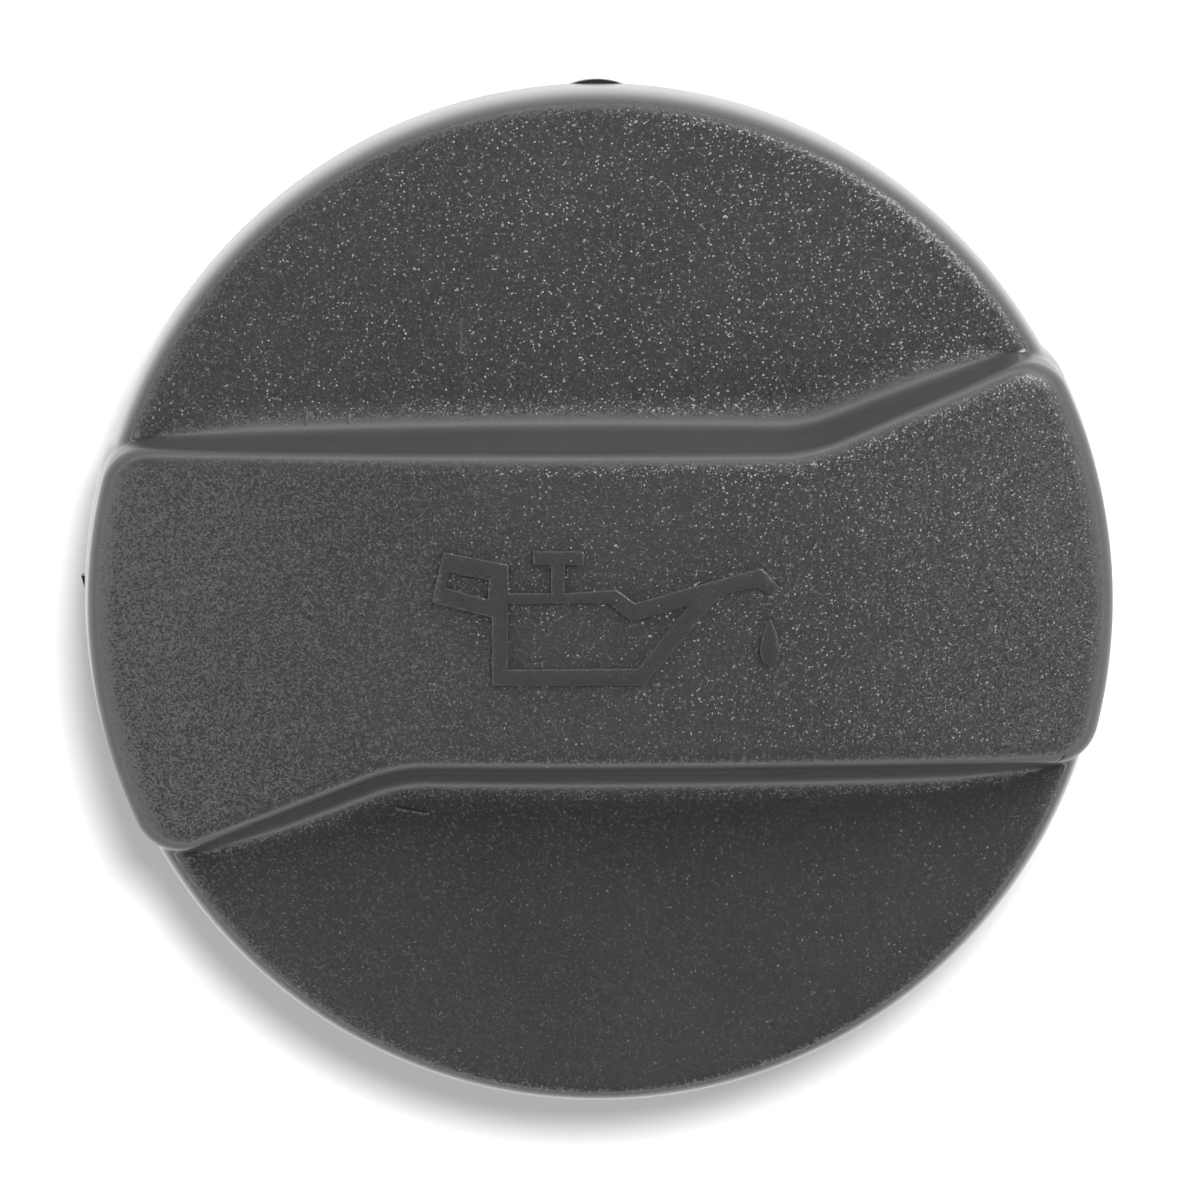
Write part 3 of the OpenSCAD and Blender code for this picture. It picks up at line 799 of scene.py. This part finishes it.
# stage, camera and light
stage = dict(floorColour=0.9, floorRoughness=0.9, floorSize=12.0, whiteShare=0.3)
camera = dict(distance=600, tiltUp=6.0, tiltLeft=1.5, targetZ=26, pixelsPerMm=14.55, imageSize=1200,
              sensor=36, clipStart=10)
lamps = dict(
    # place, size and power of the lamps on the cap
    key=dict(place=(190, 190, 200), size=170, power=0.82),
    right=dict(place=(245, 0, 232), size=260, power=0.2),
    left=dict(place=(-245, 0, 232), size=260, power=0.45),
    top=dict(place=(0, 240, 160), size=200, power=0.16),
    low=dict(place=(213, -213, 135), size=260, power=0.06),
    lowLeft=dict(place=(-190, -190, 190), size=260, power=0.22),
    glint=dict(place=(64, 72, 80), size=48, power=0.025),
)
shadowLamp = dict(place=(22, 130, 640), size=90, power=5.8)
lampTarget = (0, 0, 25)
sky = dict(horizon=4.5, zenith=0.03, fadeTo=0.4)


def floorMaterial():
    # the camera and mirrors see part of the floor as plain white, the rest keeps the shadow
    material, tree, shader = newMaterial("paleFloor")
    shader.inputs["Base Color"].default_value = (stage["floorColour"],) * 3 + (1,)
    shader.inputs["Roughness"].default_value = stage["floorRoughness"]
    shader.inputs["Specular IOR Level"].default_value = 0
    glow = addNode(tree, "Emission", "white")
    ray = addNode(tree, "LightPath", "kind of ray")
    seen = ray.outputs["Is Camera Ray"]
    for kind in ("Is Glossy Ray", "Is Transmission Ray"):
        seen = addMath(tree, "or mirrored or seen through glass", "MAXIMUM", seen, ray.outputs[kind])
    share = addMath(tree, "share of white", "MULTIPLY", seen, stage["whiteShare"])
    pale = addNode(tree, "MixShader", "pale floor",
                   {0: share, 1: shader.outputs["BSDF"], 2: glow.outputs["Emission"]})
    # open to a view from below, so that the underside of the cap can be looked at
    side = addNode(tree, "NewGeometry", "side")
    clear = addNode(tree, "BsdfTransparent", "clear")
    oneSided = addNode(tree, "MixShader", "open from below",
                       {0: side.outputs["Backfacing"], 1: pale.outputs["Shader"], 2: clear.outputs["BSDF"]})
    tree.links.new(oneSided.outputs["Shader"], tree.nodes["Material Output"].inputs["Surface"])
    return material


def makeFloor():
    bm = bmesh.new()
    bmesh.ops.create_grid(bm, x_segments=1, y_segments=1, size=stage["floorSize"] / 2)
    floor = looseObject("floor", bm)
    floor.data.materials.append(floorMaterial())
    return floor


def makeCamera():
    up, left = math.radians(camera["tiltUp"]), math.radians(camera["tiltLeft"])
    target = Vector((0, 0, camera["targetZ"])) * mm
    back = Vector((-math.sin(left), math.sin(up), math.cos(up) * math.cos(left))).normalized()
    right = Vector((0, 1, 0)).cross(back).normalized()
    data = bpy.data.cameras.new("camera")
    data.sensor_width = camera["sensor"]
    data.lens = camera["sensor"] * camera["distance"] * camera["pixelsPerMm"] / camera["imageSize"]
    data.clip_start = camera["clipStart"] * mm
    cam = bpy.data.objects.new("camera", data)
    turn = Matrix((right, back.cross(right), back)).transposed().to_4x4()
    cam.matrix_world = Matrix.Translation(target + back * camera["distance"] * mm) @ turn
    bpy.context.scene.collection.objects.link(cam)
    bpy.context.scene.camera = cam


def makeLamp(name, values, lit):
    # a round lamp that lights only the objects it is given
    data = bpy.data.lights.new(name, "AREA")
    data.shape = "DISK"
    data.size = values["size"] * mm
    data.energy = values["power"]
    lamp = bpy.data.objects.new(name, data)
    lamp.location = Vector(values["place"]) * mm
    lamp.rotation_euler = (Vector(lampTarget) * mm - lamp.location).to_track_quat("-Z", "Y").to_euler()
    bpy.context.scene.collection.objects.link(lamp)
    lamp.light_linking.receiver_collection = lit


def makeSky():
    # pale at the horizon and dark overhead, as under a lamp hood
    world = bpy.data.worlds.new("sky")
    bpy.context.scene.world = world
    world.use_nodes = True
    tree = world.node_tree
    place = addNode(tree, "TexCoord", "direction").outputs["Generated"]
    height = addNode(tree, "SeparateXYZ", "height", {"Vector": place}).outputs["Z"]
    fall = addNode(tree, "MapRange", "darker upwards", {
        "Value": height, "From Max": sky["fadeTo"], "To Min": sky["horizon"], "To Max": sky["zenith"]},
        interpolation_type="SMOOTHSTEP")
    background = tree.nodes["Background"]
    tree.links.new(fall.outputs["Result"], background.inputs["Strength"])
    background.inputs["Color"].default_value = (1, 1, 1, 1)


def collect(name, objects):
    group = bpy.data.collections.new(name)
    for item in objects:
        group.objects.link(item)
    return group


floor = makeFloor()
makeCamera()
capLit = collect("lit by the lamps", [headPiece, insertPiece, sealPiece])
floorLit = collect("lit by the shadow lamp", [floor])
for name, values in lamps.items():
    makeLamp(name, values, capLit)
makeLamp("shadow", shadowLamp, floorLit)
makeSky()
bpy.context.scene.view_settings.view_transform = "Standard"
print("stage, camera and light set")
